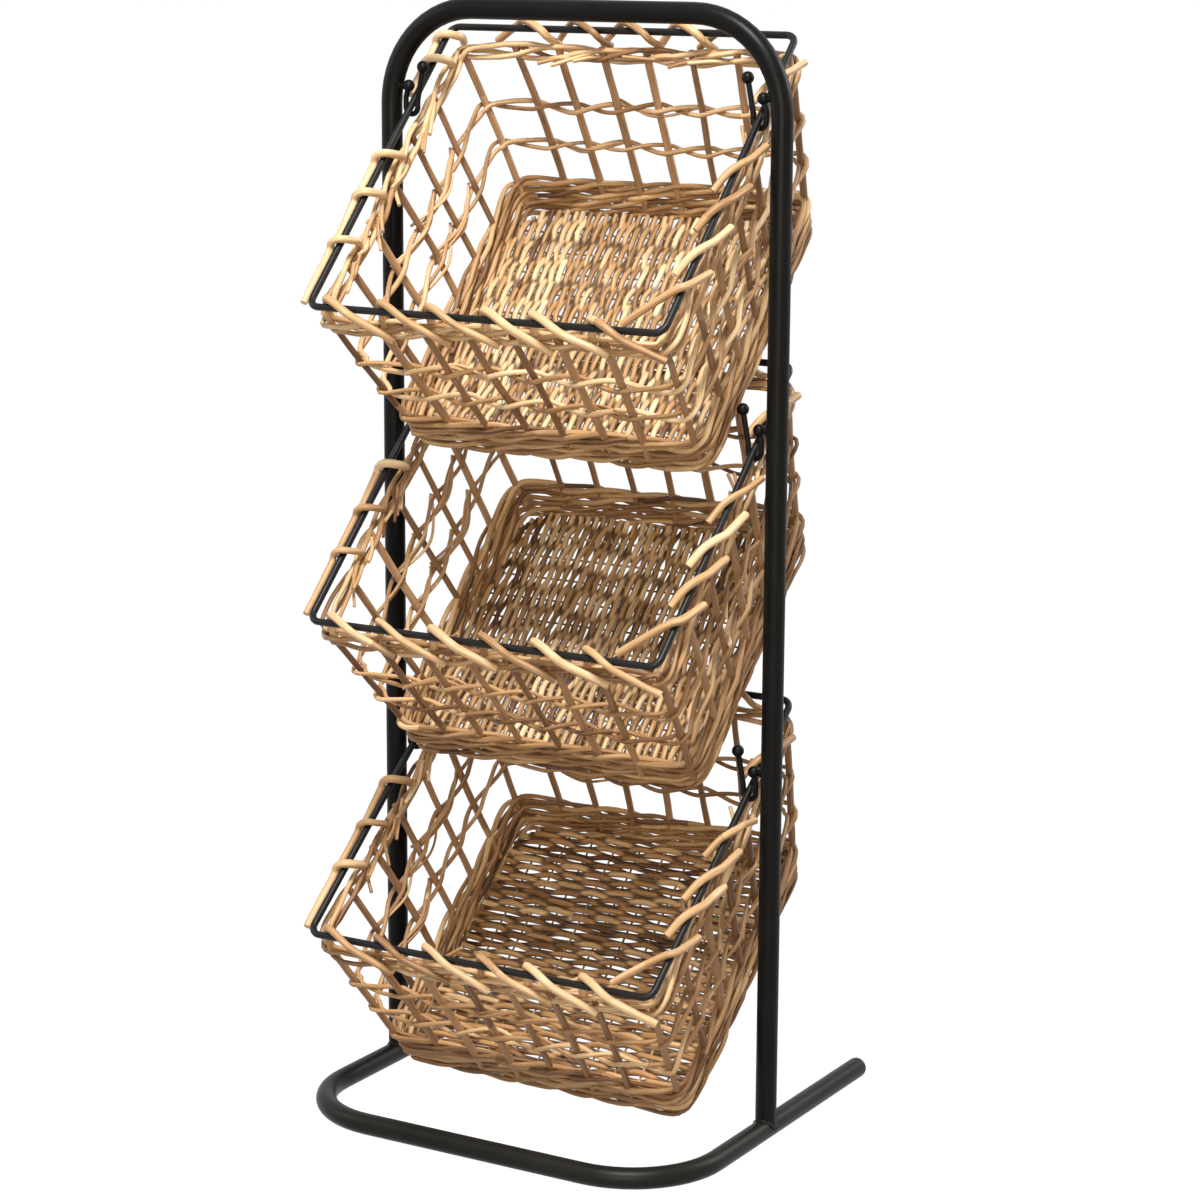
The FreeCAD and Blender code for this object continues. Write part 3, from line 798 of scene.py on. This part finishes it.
# Rim wraps
# The stakes' thin ends are turned over the rim wire and laid down aslant on its outer side, each under the
# next, pale where they are pared. The wire stays bare where the hooks hold it.
wrap_rod = 0.0070
wrap_pitch = 0.052
wraps_across = 6
wraps_across_shift = -0.012
wraps_behind = 5
wraps_behind_start = 0.120
wrap_slip = 0.003
wrap_clear = 0.0004
wrap_short_of_hook = 0.014
wrap_past_hook = {"right": 0.038, "left": 0.050}
tie_from_front = 0.040
# How far the middle of a wrap runs from the middle of the wire
wrap_off = (rim_wire + wrap_rod) / 2 + wrap_clear
wrap_finish = willow(
    "pared wrap willow",
    dark=(0.24, 0.12, 0.046), middle=(0.52, 0.310, 0.145), light=(0.80, 0.59, 0.36), gloss=0.40)
# The ways over the wire, from the inner side: how far along it, outward and up
wrap_crossings = {
    "slanted": (
        (-0.0175, 0.0010, -0.021),
        (-0.0170, -0.70 * wrap_off, -0.009),
        (-0.0160, -1.08 * wrap_off, -0.0005),
        (-0.0125, -0.88 * wrap_off, 0.62 * wrap_off),
        (0, 0, 1.03 * wrap_off),
        (0.0125, 0.88 * wrap_off, 0.55 * wrap_off),
        (0.0210, 1.10 * wrap_off, -0.0030)),
    "kinked": (
        (-0.0190, -0.0030, -0.021),
        (-0.0145, -1.12 * wrap_off, -0.010),
        (-0.0075, -1.08 * wrap_off, 0.10 * wrap_off),
        (-0.0045, -0.74 * wrap_off, 0.75 * wrap_off),
        (-0.0020, 0, 1.04 * wrap_off),
        (0, 0.80 * wrap_off, 0.66 * wrap_off),
        (0.0030, 1.06 * wrap_off, 0.05 * wrap_off),
        (0.0090, 1.12 * wrap_off, -0.0010)),
    "laid": (
        (-0.0210, -0.0095, 0.0050),
        (-0.0090, -0.0045, 0.0069),
        (0, 0, 1.03 * wrap_off),
        (0.0095, 0.72 * wrap_off, 0.70 * wrap_off),
        (0.0170, 1.04 * wrap_off, 0.12 * wrap_off),
        (0.0230, 1.08 * wrap_off, -0.0030)),
}
left, right, front, back = (Vector(way) for way in ((-1, 0, 0), (1, 0, 0), (0, -1, 0), (0, 1, 0)))


def wrap_line(kind, apex, along, outward, reach, drop, stand_off, chance):
    """One wrap: it crosses over the wire in the way of its side, then runs straight down outside."""
    crossing = wrap_crossings[kind]
    travel, off, rise = crossing[-1]
    leg = ((travel + reach) / 2, (off + stand_off) / 2, (rise - drop) / 2), (reach, stand_off, -drop)
    slip = chance.uniform(-wrap_slip, wrap_slip)
    line = []
    for travel, off, rise in crossing + leg:
        line.append(apex + along * (travel + slip) + outward * off + Vector((0, 0, rise)))
    return line


for order, tier in enumerate(tiers):
    chance = random.Random(410 + order)
    swing_point = Vector((0, 0, swing_height[tier + "_basket"]))
    seat_y = (places[tier].inverted() @ swing_point).y
    lines = []
    for place in spaced(wraps_across, wrap_pitch):
        lines.append(wrap_line(
            "slanted", Vector((place + wraps_across_shift, -rim_y, 0)), right, front,
            reach=chance.uniform(0.048, 0.060), drop=chance.uniform(0.021, 0.027), stand_off=0.0100,
            chance=chance))
    for number in range(wraps_behind):
        lines.append(wrap_line(
            "slanted", Vector((wraps_behind_start - wrap_pitch * number, rim_y, 0)), left, back,
            reach=chance.uniform(0.042, 0.052), drop=chance.uniform(0.019, 0.026), stand_off=0.0050,
            chance=chance))
    # On the right the wraps end short of the hook, and one more lies behind it
    for from_front in (0.080, 0.122, 0.166):
        apex = Vector((rim_x, from_front - rim_y, 0))
        room = seat_y - wrap_short_of_hook - apex.y
        lines.append(wrap_line(
            "laid", apex, back, right, reach=min(chance.uniform(0.046, 0.054), room),
            drop=chance.uniform(0.014, 0.019), stand_off=0.0080, chance=chance))
    lines.append(wrap_line(
        "laid", Vector((rim_x, seat_y + wrap_past_hook["right"], 0)), back, right,
        reach=0.044, drop=0.016, stand_off=0.0080, chance=chance))
    # On the left two of them lie behind the hook, and are shorter
    behind_hook = seat_y + rim_y + wrap_past_hook["left"]
    for from_front, reach in (
            (0.070, 0.062), (0.119, 0.046), (0.168, 0.046), (behind_hook, 0.034), (0.308, 0.028)):
        lines.append(wrap_line(
            "kinked", Vector((-rim_x, from_front - rim_y, 0)), front, left,
            reach=reach, drop=chance.uniform(0.002, 0.006), stand_off=wrap_off + 0.002, chance=chance))
    # One rod ties the front right corner
    tie = Vector((rim_x, tie_from_front - rim_y, 0))
    lines.append([
        tie + Vector((-0.050, -0.024, -0.013)),
        tie + Vector((-0.024, -0.0115, -0.001)),
        tie + Vector((-0.002, 0, wrap_off)),
        tie + Vector((0.007, 0.008, 0.0045)),
        tie + Vector((0.0085, 0.036, -0.014)),
    ])
    wraps = rod_mesh("wraps", lines, wrap_finish, seed=430 + order, rod=wrap_rod, step=0.0022, wobble=0.0014)
    hang_piece(tier, "rim_wraps", wraps, "willow_weavers", "border_wraps")

# Woven floors
# Thin peeled rods are woven over and under a row of sticks, close but with slits of light between them.
# They run from front to back in the upper two baskets. The lowest floor is coarser and runs from side
# to side.
# Both floor finishes paint shade where the weavers lie deep under the sticks
floor_finish = willow(
    "floor weaver willow",
    dark=(0.12, 0.048, 0.014), middle=(0.45, 0.250, 0.100), light=(0.90, 0.68, 0.40), gloss=0.38, dip_shade=0.85)
low_floor_finish = willow(
    "lowest floor willow",
    dark=(0.11, 0.042, 0.012), middle=(0.45, 0.238, 0.092), light=(0.86, 0.60, 0.32), gloss=0.40, dip_shade=0.80)
floor_depth = 0.180
floor_inset = 0.0040
floor_sticks = 10
stick_rod = 0.0022
stick_short = 0.002
weaver_slip = 0.0012
weaver_stray = 0.2
# The outermost weavers are shorter, to clear the baskets' corners
corner_short = 0.018
corner_share = 0.14


def floor_mesh(finish, along_y, pitch, rod, order):
    """The weavers of one floor with its sticks, in the basket's own frame."""
    half_x, half_y, middle = wall_at(floor_depth)
    spread, reach = (half_x, half_y) if along_y else (half_y, half_x)
    spread -= floor_inset
    reach -= floor_inset
    centre = Vector((0, middle, -floor_depth))
    along = Vector((0, 1, 0)) if along_y else Vector((1, 0, 0))
    across = Vector((1, 0, 0)) if along_y else Vector((0, 1, 0))
    stick_gap = 2 * reach / (floor_sticks + 1)
    count = round(2 * spread / pitch)
    chance = random.Random(510 + order)
    lines = []
    phases = []
    for number in range(count):
        side = spread * (2 * (number + 0.5) / count - 1)
        short = corner_short * max(0.0, abs(side) / spread - (1 - corner_share)) / corner_share
        stray = chance.uniform(-weaver_stray, weaver_stray)
        line = []
        for half_step in range(2 * (floor_sticks + 1) + 1):
            travel = -reach + stick_gap * (half_step / 2 + stray * (half_step % 2))
            travel = max(-reach + short, min(reach - short, travel))
            slip = chance.uniform(-weaver_slip, weaver_slip)
            line.append(centre + along * travel + across * (side + slip))
            phases.append(math.pi / 2 * half_step + math.pi * (number % 2) - math.pi / 2)
        lines.append(line)
    weavers = rod_mesh("weavers", lines, finish, 530 + order, phases, rod=rod,
                       rise=0.0023, step=0.0050, wobble=0.0030, unevenness=0.4)
    sticks = []
    for number in range(floor_sticks):
        travel = -reach + stick_gap * (number + 1)
        sticks.append([centre + along * travel + across * way * (spread - stick_short) for way in (-1, 1)])
    poles = rod_mesh("sticks", sticks, finish, 550 + order, rod=stick_rod, step=0.012, wobble=0.0006)
    return joined([weavers, poles])


for order, tier in enumerate(tiers):
    if tier == "bottom":
        floor = floor_mesh(low_floor_finish, along_y=False, pitch=0.0051, rod=0.0056, order=order)
    else:
        floor = floor_mesh(floor_finish, along_y=True, pitch=0.0043, rod=0.0050, order=order)
    hang_piece(tier, "floor_weave", floor, "willow_floor", "woven_floor", "floor_sticks")

# Floor and light
# A plain pale studio floor that keeps a faint shadow, lit by a broad soft lamp overhead, weaker ones from
# the front, the left and behind, and an even pale surround.
ground_half = 30.0
ground_glow = 1.24
ground_glow_share = 0.80
ground_corners = [(x * ground_half, y * ground_half, 0) for x, y in ((-1, -1), (1, -1), (1, 1), (-1, 1))]
ground = bpy.data.meshes.new("studio_floor")
ground.from_pydata(ground_corners, [], [(0, 1, 2, 3)])
ground_finish, ground_tree, ground_surface = new_material("pale floor")
feed(ground_tree, ground_surface, [
    ("Base Color", (0.34, 0.34, 0.34, 1)), ("Roughness", 0.9), ("Specular IOR Level", 0.1)])


def seen_directly(tree):
    """One for rays from the camera, in reflections and through clear things, and nought for the lighting."""
    rays = add_node(tree, "ShaderNodeLightPath").outputs
    seen = worked_out(tree, "MAXIMUM", rays["Is Camera Ray"], rays["Is Glossy Ray"])
    return worked_out(tree, "MAXIMUM", seen, rays["Is Transmission Ray"])


glow_share = worked_out(ground_tree, "MULTIPLY", seen_directly(ground_tree), ground_glow_share)
glow = add_node(ground_tree, "ShaderNodeEmission", [("Color", (1, 1, 1, 1)), ("Strength", ground_glow)])
blend = add_node(ground_tree, "ShaderNodeMixShader", [
    (0, glow_share), (1, ground_surface.outputs[0]), (2, glow.outputs[0])])
feed(ground_tree, ground_tree.nodes["Material Output"], [("Surface", blend.outputs[0])])
ground.materials.append(ground_finish)
studio_floor = bpy.data.objects.new("studio_floor", ground)
bpy.context.scene.collection.objects.link(studio_floor)

world = bpy.data.worlds.new("pale surround")
bpy.context.scene.world = world
world.use_nodes = True
evenness = ranged(world.node_tree, seen_directly(world.node_tree), 0.07, 1.0)
feed(world.node_tree, world.node_tree.nodes["Background"], [("Color", (1, 1, 1, 1)), ("Strength", evenness)])


def soft_lamp(name, place, target, size, power, colour=(1, 1, 1)):
    """A round lamp with a broad face that is turned to a target."""
    lamp = bpy.data.lights.new(name, "AREA")
    lamp.shape = "DISK"
    lamp.size = size
    lamp.energy = power
    lamp.color = colour
    carrier = bpy.data.objects.new(name, lamp)
    bpy.context.scene.collection.objects.link(carrier)
    carrier.location = place
    carrier.rotation_euler = (Vector(target) - Vector(place)).to_track_quat("-Z", "Y").to_euler()


warm_white = (1.0, 0.90, 0.74)
soft_lamp("overhead lamp", place=(0.7, -1.5, 3.3), target=(0, 0, 0.5), size=1.0, power=175)
soft_lamp("front lamp", place=(1.3, -3.0, 1.2), target=(0, 0, 0.4), size=1.4, power=52, colour=warm_white)
soft_lamp("left lamp", place=(-2.4, -1.2, 1.6), target=(0, 0, 0.5), size=1.6, power=16)
soft_lamp("rear lamp", place=(1.7, 2.0, 1.9), target=(0, 0, 0.5), size=1.5, power=46)

# Camera
# It stands a little above the stand's top rail, well in front and to the right, and looks a little down.
# Its place, turn and lens are a fit to the corners of the rims, the hooks and the base in the photo.
azimuth = math.radians(30.455)
pitch = math.radians(11.787)
roll = math.radians(0.327)
camera_place = Vector((1.4721, -2.4655, 1.0696))
level_right = Vector((math.cos(azimuth), math.sin(azimuth), 0))
view_back = Vector((
    math.sin(azimuth) * math.cos(pitch), -math.cos(azimuth) * math.cos(pitch), math.sin(pitch)))
level_up = view_back.cross(level_right)
view_right = level_right * math.cos(roll) + level_up * math.sin(roll)
view_up = level_up * math.cos(roll) - level_right * math.sin(roll)
lens = bpy.data.cameras.new("photo camera")
lens.sensor_width = 36.0
lens.lens = 98.16
camera = bpy.data.objects.new("photo camera", lens)
bpy.context.scene.collection.objects.link(camera)
view_turn = Matrix((view_right, view_up, view_back)).transposed().to_4x4()
camera.matrix_world = Matrix.Translation(camera_place) @ view_turn
bpy.context.scene.camera = camera
bpy.context.scene.view_settings.view_transform = "Standard"
